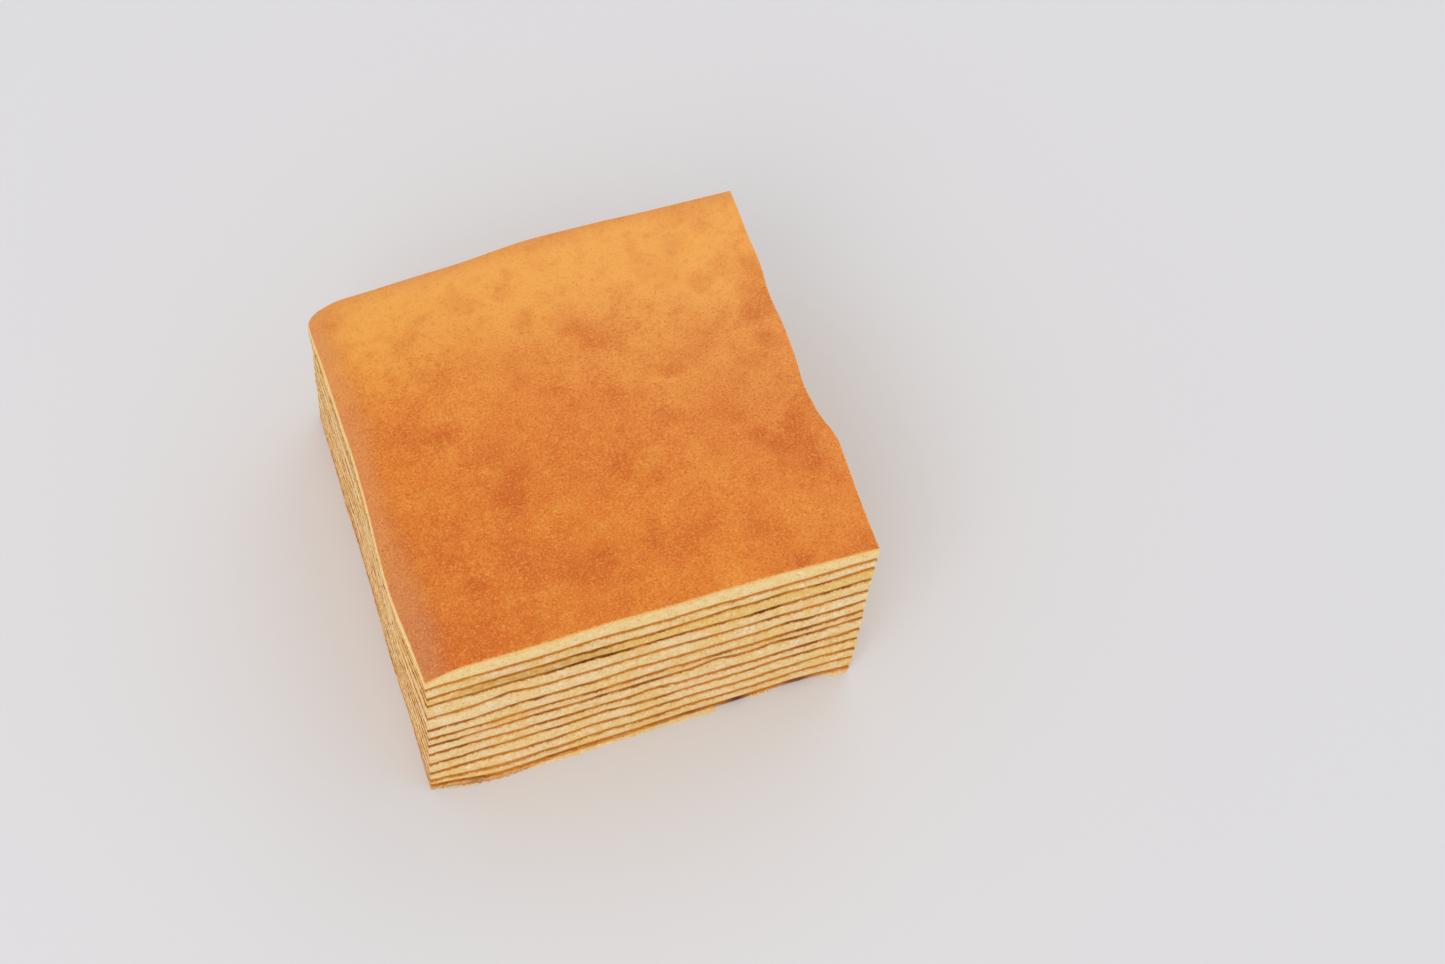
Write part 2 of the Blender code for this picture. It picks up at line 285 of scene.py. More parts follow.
class LayerCakeStage(bpy.types.PropertyGroup):
    """Camera and light of the studio."""

    camera_place: bpy.props.FloatVectorProperty(
        name="Camera Place", subtype="TRANSLATION", size=3, precision=4,
        default=(-68.206 * MM, -239.939 * MM, 469.907 * MM),
        description="Where the camera stands, from the middle of the block's base")
    camera_turn: number_setting(
        "Camera Turn", math.radians(22.886), "How far the camera looks right of straight ahead",
        subtype="ANGLE")
    camera_tilt: number_setting(
        "Camera Tilt", math.radians(60.69), "How steeply the camera looks down", subtype="ANGLE")
    camera_roll: number_setting(
        "Camera Roll", math.radians(4.815), "How far the camera is rolled about its line of sight",
        subtype="ANGLE")
    camera_lens: number_setting(
        "Lens", 57.27, "Focal length for a 36 mm wide sensor", unit="CAMERA")
    sky_strength: number_setting(
        "Room Light", 0.80, "Strength of the even light from all around", min=0)
    key_strength: number_setting(
        "Window Light", 4.7, "Strength of the large soft light at the front left",
        min=0, unit="POWER")
    fill_strength: number_setting(
        "Fill Light", 1.6, "Strength of the second soft light, behind at the right",
        min=0, unit="POWER")


def bell(distance, width):
    """A smooth hump: 1 at no distance, fading out past the width."""
    return np.exp(-(distance / width) ** 2)


def edge_curve(distance, width):
    """Falls from 1 at an edge to 0 at the width, steepest at the edge itself."""
    return np.clip(1 - distance / width, 0, None) ** 2


def smooth_share(value, start, end):
    """Rises smoothly from 0 at start to 1 at end."""
    share = np.clip((value - start) / (end - start), 0, 1)
    return share * share * (3 - 2 * share)


def ripple(along, across, length, layer):
    """Smooth noise, from about -1 to 1, for many places at once."""
    scale = 1 / length
    places = zip(along * scale, across * scale)
    return np.array([noise.noise((a, b, layer)) for a, b in places])


def side_places(u, v):
    """For each side, how far along it a point lies and how deep behind it, in mm."""
    return {
        "front": (u * WIDTH, v * DEPTH),
        "back": (u * WIDTH, (1 - v) * DEPTH),
        "left": (v * DEPTH, u * WIDTH),
        "right": (v * DEPTH, (1 - u) * WIDTH),
    }


def list_humps():
    """Every hump as layer, side, place along the side, rise and half width."""
    humps = [(layer, "front", along * WIDTH, rise, width)
             for layer, along, rise, width in FRONT_HUMPS]
    draw = random.Random(SEED)
    for layer in range(1, LAYERS):
        for side in SIDES[1:]:
            for _ in range(HUMPS_PER_SIDE):
                along = draw.uniform(0.0, WIDTH)
                rise = draw.uniform(*HUMP_RISE)
                humps.append((layer, side, along, rise, draw.uniform(*HUMP_HALF_WIDTH)))
    return humps


HUMPS = list_humps()


def rim_droop(level, from_left, from_back):
    """How far a layer's top rolls down at the rim of the whole cake."""
    left_roll = LEFT_ROLL if level == LAYERS else LEFT_ROLL * INNER_ROLL
    at_left = smooth_share(from_back - from_left, -ROLL_WIDTH, ROLL_WIDTH)
    roll = BACK_ROLL + (left_roll - BACK_ROLL) * at_left
    droop = roll * edge_curve(np.minimum(from_left, from_back), ROLL_WIDTH)
    droop += CORNER_DROOP * bell(np.hypot(from_left, from_back), CORNER_DROOP_WIDTH)
    sag = BACK_SAG * bell(from_left - BACK_SAG_PLACE, BACK_SAG_WIDTH)
    return droop + sag * edge_curve(from_back, BACK_SAG_DEPTH)


def level_height(level, u, v):
    """Heights of the top of a layer at places in the plan; level 0 is the flat base."""
    if level == 0:
        return np.zeros_like(u)
    left, middle, right = LAYER_TOPS[level - 1]
    height = left + (right - left) * u + (middle - (left + right) / 2) * 4 * u * (1 - u)
    places = side_places(u, v)
    if level < LAYERS:
        for layer, side, along, rise, width in HUMPS:
            if layer == level:
                place, depth = places[side]
                height = height + rise * bell(place - along, width) * bell(depth, HUMP_DEPTH)
    else:
        rise = CROWN_LEFT + (CROWN_RIGHT - CROWN_LEFT) * u
        dip_width, dip_depth = FRONT_RIGHT_DIP_REACH
        height = height + rise - FRONT_RIGHT_DIP * bell(1 - u, dip_width) * bell(v, dip_depth)
    across, deep = places["front"]
    calm, calm_depth = CALM_FRONT
    strength = (1 - calm * bell(deep, calm_depth)) * min(level / 2, 1.0)
    for rise, wave in SLOW_WAVES:
        height = height + rise * strength * ripple(across, deep, wave, level * SLOW_WAVE_SHIFT)
    if level < LAYERS:
        shift = level * FINE_WAVE_SHIFT + FINE_WAVE_START
        for rise, wave in FINE_WAVES:
            height = height + rise * ripple(across, deep, wave, shift)
    droop = rim_droop(level, places["left"][1], places["back"][1])
    return height - droop * (np.clip(height, 0, None) / HEIGHT) ** DROOP_POWER


def cut_offset(layer, side, along):
    """How far a layer's edge stands out from the plane of its side."""
    turn = SIDES.index(side) + 1
    step = random.Random(SEED * layer + turn).uniform(-LAYER_STEP, LAYER_STEP)
    layer_shift, side_shift = CUT_WANDER_SHIFT
    wander = [noise.noise((place, layer * layer_shift, turn * side_shift))
              for place in along / CUT_WANDER_LENGTH]
    return step + CUT_WANDER * np.array(wander)


def side_bend(side, along):
    """How far a whole side bends outwards at a share of its length."""
    if side == "right":
        inward, start, width_of_step = RIGHT_STEP
        waves = sum(out * bell(along - where, width) for out, where, width in RIGHT_WAVES)
        return waves - inward * smooth_share(along, start, start + width_of_step)
    bends = {"left": LEFT_BELLY, "back": BACK_WAIST}.get(side, ())
    bent = (out * bell(along - where, width) for out, where, width in bends)
    return sum(bent, np.zeros_like(along))


def plan_places(u, v, height):
    """The corner-to-corner plan at each height, as x and y arrays in mm."""
    share = np.clip(height / HEIGHT, 0, 1)
    corners = []
    for foot, top in zip(FOOT_CORNERS, TOP_CORNERS):
        corners.append([foot[axis] + (top[axis] - foot[axis]) * share for axis in (0, 1)])
    places = []
    for axis in (0, 1):
        front = corners[0][axis] + (corners[1][axis] - corners[0][axis]) * u
        back = corners[3][axis] + (corners[2][axis] - corners[3][axis]) * u
        places.append(front + (back - front) * v)
    return places[0], places[1]


def wall_offset(layer, side, along, share, thickness, sizes):
    """How far a cut face stands out, with its bulge and the notches at its two skins."""
    own = cut_offset(layer, side, along)
    out = own + sizes.bulge / MM * (1 - (2 * share - 1) ** 2)
    for neighbour, from_skin in ((layer + 1, 1 - share), (layer - 1, share)):
        if 1 <= neighbour <= LAYERS:
            out -= sizes.notch / MM * bell(from_skin * thickness, sizes.notch_width / MM)
            halfway = (cut_offset(neighbour, side, along) - own) / 2
            out += halfway * (1 - smooth_share(from_skin, 0, NEIGHBOUR_BLEND))
    if side == "left" and layer >= LAYERS - 1:
        out += LEFT_LIP * (1 - share if layer == LAYERS else share ** 2)
    if layer == LAYERS and side in ("front", "right"):
        out -= TOP_EDGE_ROUND * share ** 3
    if layer == 1 and side == "front":
        up = share * thickness
        ragged = sum(part * ripple(along, up, size, shift) for part, size, shift in FRINGE_RIPPLES)
        here = smooth_share(along / WIDTH, FRINGE_END, FRINGE_END - FRINGE_FADE)
        out += FRINGE * ragged * here * (1 - share) ** FRINGE_POWER
    return out


def round_corner(layer, x, y, height, bend_share):
    """Turns the square corner of the tin into an arc that meets both real walls."""
    corner_x, corner_y = plan_places(np.zeros_like(x), np.ones_like(x), height)
    left_out = cut_offset(layer, "left", np.array([DEPTH]))[0]
    left_out = left_out + bend_share * side_bend("left", np.ones(1))[0]
    back_out = cut_offset(layer, "back", np.zeros(1))[0]
    back_out = back_out + bend_share * side_bend("back", np.zeros(1))[0]
    round_x, round_y = RIM_CORNER
    middle_x = corner_x + round_x
    middle_y = corner_y - round_y
    reach_x = (middle_x - x) / (round_x + left_out)
    reach_y = (y - middle_y) / (round_y + back_out)
    in_corner = (reach_x > 0) & (reach_y > 0)
    reach = np.maximum(np.hypot(reach_x, reach_y), 1e-6)
    pull = np.where(in_corner, np.maximum(reach_x, reach_y) / reach, 1.0)
    return middle_x + (x - middle_x) * pull, middle_y + (y - middle_y) * pull


def front_foot(u):
    """How far the front's foot stands out from the plane of the cut."""
    return sum(reach * bell(u - where, width) for reach, where, width in FRONT_FOOT)


def from_outline(u, v):
    """How far places in the plan lie from its nearest side, as a share of the whole."""
    return np.minimum(np.minimum(u, 1 - u), np.minimum(v, 1 - v))


def read_points(mesh):
    """A mesh's points as rows of x, y and z."""
    flat = np.empty(len(mesh.vertices) * 3, np.float32)
    mesh.vertices.foreach_get("co", flat)
    return flat.reshape(-1, 3).astype(float)


def place_points(mesh, x, y, z):
    """Moves a mesh's points to places given in mm."""
    places = np.stack([x, y, z], axis=1) * MM
    mesh.vertices.foreach_set("co", places.astype(np.float32).ravel())
    mesh.update()


def wrap_layer(piece, layer, sizes):
    """Moves a unit slab's points to where the layer's points lie, and marks its skins."""
    mesh = piece.data
    unit = read_points(mesh)
    columns, place_of = np.unique(np.round(unit[:, :2], 5), axis=0, return_inverse=True)
    place_of = place_of.reshape(-1)
    low_level = level_height(layer - 1, columns[:, 0], columns[:, 1])
    high_level = level_height(layer, columns[:, 0], columns[:, 1])
    u, v, share = (np.clip(unit[:, axis], 0, 1) for axis in range(3))
    low = low_level[place_of]
    high = high_level[place_of]
    thickness = high - low
    height = low + thickness * share
    x, y = plan_places(u, v, height)
    places = side_places(u, v)
    bend_share = FOOT_SHARE + (1 - FOOT_SHARE) * height / HEIGHT
    for side in SIDES:
        along, depth = places[side]
        fade = edge_curve(depth, EDGE_DEPTH)
        near = fade > 0
        out = wall_offset(layer, side, along[near], share[near], thickness[near], sizes)
        side_share = v if side in ("left", "right") else u
        out += bend_share[near] * side_bend(side, side_share[near])
        if side == "front":
            out += edge_curve(height[near], FRONT_FOOT_HEIGHT) * front_foot(u[near])
        out *= fade[near]
        if side in ("front", "back"):
            y[near] += out if side == "back" else -out
        else:
            x[near] += out if side == "right" else -out
    x, y = round_corner(layer, x, y, height, bend_share)
    place_points(mesh, x, y, height)
    on_wall = from_outline(u, v) < NEARLY
    # Painted shade: how far the lowest layer's front darkens for the shadow of the undercut.
    painted_shade = sum(deep * bell(u - where, width) for where, width, deep in PAINTED_UNDERCUT_SHADES)
    marks = {
        "under_skin": (1 - share) * thickness,
        "above_sole": share * thickness,
        "on_wall": on_wall.astype(float),
        "from_rim": np.minimum(places["left"][1], places["back"][1] + BACK_RIM_MARGIN),
        "from_cut": np.minimum(places["front"][1], places["right"][1]),
        "painted_shade": painted_shade * (v < PAINTED_SHADE_DEPTH),
    }
    for name, values in marks.items():
        attribute = mesh.attributes.new(name, "FLOAT", "POINT")
        attribute.data.foreach_set("value", values.astype(np.float32))
    inside = np.minimum((1 - share) * thickness, share * thickness)
    add_group(piece, "cut face", np.clip(inside / CUT_FACE_FADE, 0, 1) * on_wall)
    return unit


def add_group(piece, name, weights):
    """A vertex group with a weight for every point, in a few steps."""
    group = piece.vertex_groups.new(name=name)
    steps = np.round(weights * WEIGHT_STEPS) / WEIGHT_STEPS
    for step in np.unique(steps):
        if step > 0:
            group.add(np.nonzero(steps == step)[0].tolist(), float(step), "REPLACE")


def deselect_everything():
    """Nothing selected and nothing active, in object mode."""
    if bpy.context.object and bpy.context.object.mode != "OBJECT":
        bpy.ops.object.mode_set(mode="OBJECT")
    bpy.ops.object.select_all(action="DESELECT")
    bpy.context.view_layer.objects.active = None


def select_only(*pieces):
    """These pieces selected and the first one active, in object mode."""
    deselect_everything()
    for piece in pieces:
        piece.select_set(True)
    bpy.context.view_layer.objects.active = pieces[0]


def add_sheet(cells, rim_cuts, height):
    """A flat unit sheet of square cells, whose rim edges are cut further."""
    deselect_everything()
    bpy.ops.mesh.primitive_grid_add(
        x_subdivisions=cells, y_subdivisions=cells, size=1.0, location=(0.5, 0.5, height))
    sheet = bpy.context.object
    bpy.ops.object.transform_apply()
    if rim_cuts:
        bpy.ops.object.mode_set(mode="EDIT")
        bpy.ops.mesh.select_mode(type="EDGE")
        bpy.ops.mesh.select_all(action="DESELECT")
        bpy.ops.mesh.select_non_manifold()
        bpy.ops.mesh.subdivide(number_cuts=rim_cuts, ngon=True)
        bpy.ops.object.mode_set(mode="OBJECT")
    return sheet


def face_outwards():
    """Turns every face outwards and leaves edit mode."""
    bpy.ops.mesh.select_all(action="SELECT")
    bpy.ops.mesh.normals_make_consistent()
    bpy.ops.object.mode_set(mode="OBJECT")


def add_slab(name, top_cells, side_cells, rings):
    """A closed unit slab: two sheets with like rims, bridged by a wall of several rings."""
    lower = add_sheet(COARSE_CELLS, side_cells // COARSE_CELLS - 1, 0.0)
    upper = add_sheet(top_cells, side_cells // top_cells - 1, 1.0)
    select_only(upper, lower)
    bpy.ops.object.join()
    slab = bpy.context.object
    bpy.ops.object.mode_set(mode="EDIT")
    bpy.ops.mesh.select_mode(type="EDGE")
    bpy.ops.mesh.select_all(action="DESELECT")
    bpy.ops.mesh.select_non_manifold()
    bpy.ops.mesh.bridge_edge_loops(number_cuts=rings - 1, interpolation="LINEAR")
    face_outwards()
    slab.name = slab.data.name = name
    return slab


def add_relief(piece, name, texture_kind, bump_size, depth, group):
    """Finishes a piece with the relief of a procedural texture, within a group."""
    texture = bpy.data.textures.new(name, texture_kind)
    texture.noise_scale = bump_size * MM
    if texture_kind == "CLOUDS":
        texture.noise_depth = 2
    modifier = piece.modifiers.new(name, "DISPLACE")
    modifier.texture = texture
    modifier.texture_coords = "LOCAL"
    modifier.vertex_group = group
    modifier.strength = depth
    select_only(piece)
    bpy.ops.object.modifier_apply(modifier=modifier.name)
    bpy.data.textures.remove(texture)


def roughen_cut(piece, sizes):
    """The uneven cut through the crumb and its pores, away from the skins."""
    add_relief(piece, "uneven cut", "CLOUDS", CUT_BUMPS, sizes.crumb_relief, "cut face")
    add_relief(piece, "pores", "STUCCI", PORE_BUMPS, sizes.pore_relief, "cut face")


def feed(node, inputs):
    """Sets a node's inputs, by name or number, from values or other nodes' outputs."""
    for name, value in inputs.items():
        if isinstance(value, bpy.types.NodeSocket):
            node.id_data.links.new(value, node.inputs[name])
        else:
            node.inputs[name].default_value = value
    return node


def add_node(kind, inputs, **settings):
    """A shader node, in the tree of the outputs that feed it, with its settings made."""
    sources = [value for value in inputs.values() if isinstance(value, bpy.types.NodeSocket)]
    node = sources[0].id_data.nodes.new(kind)
    for name, value in settings.items():
        setattr(node, name, value)
    return feed(node, inputs)


def add_noise(vector, scale, detail=3.0, roughness=0.55):
    """Soft noise, 0 to 1, whose grain is 1 m divided by the scale."""
    node = add_node("ShaderNodeTexNoise", {
        "Vector": vector, "Scale": scale, "Detail": detail, "Roughness": roughness})
    return node.outputs["Fac"]


def ramp(value, start, end, low=0.0, high=1.0, smooth=True):
    """Turns the stretch from start to end into low to high."""
    node = add_node("ShaderNodeMapRange", {
        "Value": value, "From Min": start, "From Max": end, "To Min": low, "To Max": high},
        interpolation_type="SMOOTHSTEP" if smooth else "LINEAR")
    return node.outputs["Result"]


def add_math(operation, first, second=0.0):
    """Plain arithmetic on two values, of which the first comes from a node."""
    node = add_node("ShaderNodeMath", {0: first, 1: second}, operation=operation)
    return node.outputs[0]


def plus(first, second):
    """One value added to another."""
    return add_math("ADD", first, second)


def times(first, second):
    """One value times another."""
    return add_math("MULTIPLY", first, second)


def add_jitter(value, pattern, reach):
    """A value that a noise pattern moves up and down by about the reach."""
    return plus(value, ramp(pattern, 0.3, 0.7, -reach, reach, False))


def blend(share, first, second):
    """A colour between two others."""
    node = add_node("ShaderNodeMix", {0: share, 6: first, 7: second}, data_type="RGBA")
    return node.outputs[2]


def tint(base, value, start, end, share, colour):
    """Mixes a colour in while a value runs from start to end, up to the given share."""
    return blend(ramp(value, start, end, 0.0, share), base, colour)


def add_bump(height, strength, depth):
    """The surface's normal, bent by a pattern of heights."""
    node = add_node("ShaderNodeBump", {"Height": height, "Strength": strength, "Distance": depth})
    return node.outputs["Normal"]


def read_mark(shader, name):
    """A value that was marked on the mesh's points."""
    node = shader.id_data.nodes.new("ShaderNodeAttribute")
    node.attribute_name = name
    return node.outputs["Fac"]


def start_material(name):
    """A material with its Principled shader and the piece's own coordinates."""
    material = bpy.data.materials.new(name)
    material.use_nodes = True
    tree = material.node_tree
    shader = tree.nodes["Principled BSDF"]
    place = tree.nodes.new("ShaderNodeTexCoord").outputs["Object"]
    return material, shader, place


def scatter_light(shader, weight, depth):
    """Lets a little light sink into the crumb."""
    shader.inputs["Subsurface Weight"].default_value = weight
    shader.inputs["Subsurface Radius"].default_value = (1.0, 0.55, 0.25)
    shader.inputs["Subsurface Scale"].default_value = depth


# How fine the patterns are, as noise scales: 1 m divided by the size of the grain.
PATCH_SCALE = 130.0  # yellower patches of the crumb
SPECKLE_SCALE = 760.0
GRAIN_SCALE = 1900.0
PORE_SCALE = 950.0
WOBBLE_SCALE = 460.0  # of the line of a skin
DRIFT_SCALE = 90.0  # slow changes in how brown a skin is
FLECK_SCALE = 240.0
PRESSED_SCALE = 420.0
WARP_SCALE = 28.0  # slow bends of the crust's zones
MOTTLE_SCALE = 78.0
SPOT_SCALE = 78.0
SPOT_BEND_SCALE = 130.0
FINE_SCALE = 230.0
PIMPLE_SCALE = 620.0
DUST_SCALE = 2100.0

# Zones across the block in metres, where each starts and ends: along the front, from the
# front to the back, or along a slope from the front left to the back right.
TANNED_RIGHT = (-0.044, -0.012)
LONGER_BAKED_FROM = (-0.046, -0.036)
LONGER_BAKED_TO = (-0.002, -0.014)
# Partly painted sheen: the crust turns golden towards the back.
GOLDEN_BACK_AND_SHEEN = (-0.006, 0.042)
BACK_WARP = 0.014
BACK_SLANT = 0.12
SLOPE_SLANT = 0.8
PALE_RIGHT_AND_SHEEN = (-0.036, 0.070)
TOASTED_CORNER = (-0.030, -0.088)
TOASTED_BAND = (0.007, 0.020)  # how far in front of the middle, and its half width
FAINT_SPOTS = (-0.03, 0.045)
FAINT_DUST = (0.0, 0.045)
DULL_FRONT = (-0.012, -0.040)
SPOT_BEND = (0.006,) * 3

# Depths in metres of the finest bumps and of the scattered light.
CRUMB_BUMP = 0.00026
CRUST_BUMP = 0.00018
CRUMB_SCATTER = 0.0016
PRESSED_SCATTER = 0.0012
CRUST_SCATTER = 0.0014

# Where a colour starts and ends, in mm from a skin, a sole, a cut or the rim.
SKIN_CORE = (0.90, 0.42)
SKIN_TOP = (-0.14, 0.20)
SKIN_GLOW = (1.70, 0.35)
LOWEST_SKIN_GLOW = (1.0, 0.35)
SOLE = (0.22, 0.0)
LEFT_WALL = (1.0, 0.0)
RIM = (9.5, 1.0)
PINK_RIM = (6.0, 0.3)
DULL_RIM = (7.0, 1.0)
CRUST_FRINGE = (0.20, 0.0)
CRUST_GLOW = (1.7, 0.15)
CRUST_THICKNESS = (0.14, 0.34)

# How each layer under the crust baked, from the lowest up: how deep its skin browned, how
# yellow and how tanned its crumb is and, where the left baked longer, how dull and seared.
BAKING = (
    (0.60, 0.35, 0.90, 0.0, 0.0),
    (0.45, 0.15, 0.06, 0.0, 0.0),
    (0.42, 0.10, 0.02, 0.0, 0.0),
    (0.50, 0.15, 0.0, 0.0, 0.0),
    (0.58, 0.10, 0.08, 0.0, 0.0),
    (0.70, 0.10, 0.04, 0.0, 0.0),
    (0.60, 0.20, 0.14, 0.0, 0.0),
    (0.66, 0.08, 0.07, 0.0, 0.0),
    (0.56, 0.0, 0.0, 0.0, 0.0),
    (1.00, 0.05, 0.04, 0.0, 0.35),
    (0.50, 0.80, 0.06, 0.60, 0.10),
    (0.12, 0.10, 0.02, 0.12, 0.0),
)


def crumb_colour(place, colours, butter_low, butter_high, specks=1.0, bright=0.0):
    """Pale crumb with yellower patches, fine grain and a few light and dark specks."""
    patches = add_noise(place, PATCH_SCALE)
    butter = ramp(patches, 0.38, 0.64, butter_low, butter_high)
    base = blend(butter, colours.crumb, colours.butter)
    # Painted light: up to this share of brighter crumb, for the light on the top layer.
    base = blend(bright, base, colours.bright)
    speckle = add_noise(place, SPECKLE_SCALE, 3.0, 0.6)
    base = tint(base, speckle, 0.50, 0.24, 0.44 * specks, colours.glow)
    base = tint(base, speckle, 0.52, 0.74, 0.60, colours.speck)
    grain = add_noise(place, GRAIN_SCALE, 3.0, 0.65)
    base = tint(base, grain, 0.48, 0.26, 0.54 * specks, colours.skin)
    base = tint(base, grain, 0.54, 0.74, 0.70, colours.grain)
    return base, speckle, grain


def crumb_bump(place, speckle, grain):
    """The normal of a cut through fine, open crumb."""
    pores = add_node("ShaderNodeTexVoronoi", {"Vector": place, "Scale": PORE_SCALE})
    pits = ramp(pores.outputs["Distance"], 0.0, 0.38)
    height = plus(plus(grain, times(pits, 0.7)), speckle)
    return add_bump(height, 0.8, CRUMB_BUMP)


def finish_crumb(shader, place, base, speckle, grain, roughness, specular):
    """Feeds the shader with a colour and the roughness of cut or broken crumb."""
    feed(shader, {
        "Base Color": base, "Normal": crumb_bump(place, speckle, grain),
        "Roughness": ramp(grain, 0.3, 0.7, *roughness),
        "Specular IOR Level": specular})


def make_crumb_material(name, colours, baking, lowest):
    """Crumb of one layer with its browned skin; the lowest gets painted undercut shade in places.
    """
    darkness, butter, tan, dulled, seared = baking
    material, shader, place = start_material(name)
    base, speckle, grain = crumb_colour(place, colours, butter, min(butter + 0.6, 1.0))
    along = add_node("ShaderNodeSeparateXYZ", {"Vector": place}).outputs["X"]
    rightward = ramp(along, *TANNED_RIGHT)
    brown = blend(rightward, colours.tan_left, colours.tan_right)
    baked = times(ramp(speckle, 0.36, 0.60, 1.0, 0.72), tan)
    base = blend(baked, base, brown)
    longer = times(ramp(along, *LONGER_BAKED_FROM), ramp(along, *LONGER_BAKED_TO))
    dull = times(ramp(speckle, 0.34, 0.62, 1.0, 0.55), longer)
    base = blend(times(dull, dulled), base, colours.dull)
    # The skin's line wanders, and its browning comes and goes along it.
    wobble = add_noise(place, WOBBLE_SCALE)
    under = add_jitter(read_mark(shader, "under_skin"), wobble, 0.20)
    under = add_jitter(under, grain, 0.22)
    drift = add_noise(place, DRIFT_SCALE, 2.0)
    flecks = add_noise(place, FLECK_SCALE, 2.0)
    deep = ramp(drift, 0.36, 0.64, darkness * 0.12, min(darkness * 1.10, 1.0))
    deep = times(deep, ramp(flecks, 0.34, 0.62, 0.30, 1.22))
    deep = plus(deep, times(longer, seared))
    core = times(ramp(under, *SKIN_CORE), ramp(under, *SKIN_TOP, 0.30, 1.0))
    glow = LOWEST_SKIN_GLOW if lowest else SKIN_GLOW
    base = tint(base, under, *glow, 0.58, colours.glow)
    base = blend(times(core, 0.84), base, colours.skin)
    base = blend(times(core, deep), base, colours.dark_skin)
    above = read_mark(shader, "above_sole")
    base = tint(base, above, *SOLE, 0.45, colours.glow if lowest else colours.skin)
    base = tint(base, read_mark(shader, "from_rim"), *LEFT_WALL, 0.12, colours.skin)
    # Painted shade: the lowest layer darkens where its foot lies in the undercut's shadow.
    if lowest:
        base = blend(read_mark(shader, "painted_shade"), base, colours.painted_undercut_shade)
    finish_crumb(shader, place, base, speckle, grain, (0.62, 0.82), 0.08)
    scatter_light(shader, 0.10, CRUMB_SCATTER)
    return material


def make_pressed_material(name, colours):
    """Moist yellow crumb, pressed thin or broken off at the foot."""
    material, shader, place = start_material(name)
    base, speckle, grain = crumb_colour(place, colours, 0.35, 0.80, 0.4)
    patches = add_noise(place, PRESSED_SCALE, 2.0)
    base = tint(base, patches, 0.56, 0.74, 0.25, colours.glow)
    finish_crumb(shader, place, base, speckle, grain, (0.50, 0.72), 0.15)
    scatter_light(shader, 0.15, PRESSED_SCATTER)
    return material


def tint_crust(colours, spread, back):
    """The crust's slow changes: golden back, paler right (both partly painted sheen), toasted
    corner.
    """
    # Golden towards the back: partly the crust's baking, partly painted sheen.
    crust = blend(ramp(back, *GOLDEN_BACK_AND_SHEEN), colours.amber, colours.gold)
    slope = times(spread.outputs["X"], SLOPE_SLANT)
    slope = plus(slope, spread.outputs["Y"])
    # Paler towards the right: partly the crust's own tone, partly painted sheen.
    crust = tint(crust, slope, *PALE_RIGHT_AND_SHEEN, 0.27, colours.pale_crust_and_sheen)
    crust = tint(crust, slope, *TOASTED_CORNER, 0.60, colours.toast)
    band_place, band_width = TOASTED_BAND
    from_band = add_math("ABSOLUTE", plus(spread.outputs["Y"], band_place))
    return tint(crust, from_band, band_width, 0.0, 0.15, colours.toast)


def spot_crust(place, colours, crust, back):
    """Soft clouds and spots on the crust, fainter towards the back."""
    mottle = add_noise(place, MOTTLE_SCALE, 2.0, 0.45)
    strength = ramp(back, *FAINT_SPOTS, 1.0, 0.34)
    clouds = times(ramp(mottle, 0.50, 0.74, 0.0, 0.66), strength)
    crust = blend(clouds, crust, colours.toast)
    crust = tint(crust, mottle, 0.47, 0.28, 0.18, colours.gold)
    shift = {"Vector": place, "Scale": SPOT_BEND_SCALE, "Detail": 2.0}
    shift = add_node("ShaderNodeTexNoise", shift).outputs["Color"]
    bent = add_node("ShaderNodeVectorMath", {0: shift, 1: SPOT_BEND}, operation="MULTIPLY")
    bent = add_node("ShaderNodeVectorMath", {0: place, 1: bent.outputs[0]}, operation="ADD")
    cells = add_node("ShaderNodeTexVoronoi", {
        "Vector": bent.outputs[0], "Scale": SPOT_SCALE}, voronoi_dimensions="2D")
    choice = add_node("ShaderNodeSeparateColor", {"Color": cells.outputs["Color"]})
    chosen = ramp(choice.outputs[0], 0.20, 1.0, 0.0, 0.85)
    spot = times(ramp(cells.outputs["Distance"], 0.38, 0.02), chosen)
    return blend(times(spot, strength), crust, colours.toast)


def grain_crust(crust, pattern, reach, dark, light, colours):
    """Makes the crust darker where a pattern is high and lighter where it is low."""
    crust = tint(crust, pattern, 0.50, 0.50 + reach, dark, colours.toast)
    return tint(crust, pattern, 0.50, 0.50 - reach, light, colours.gold)


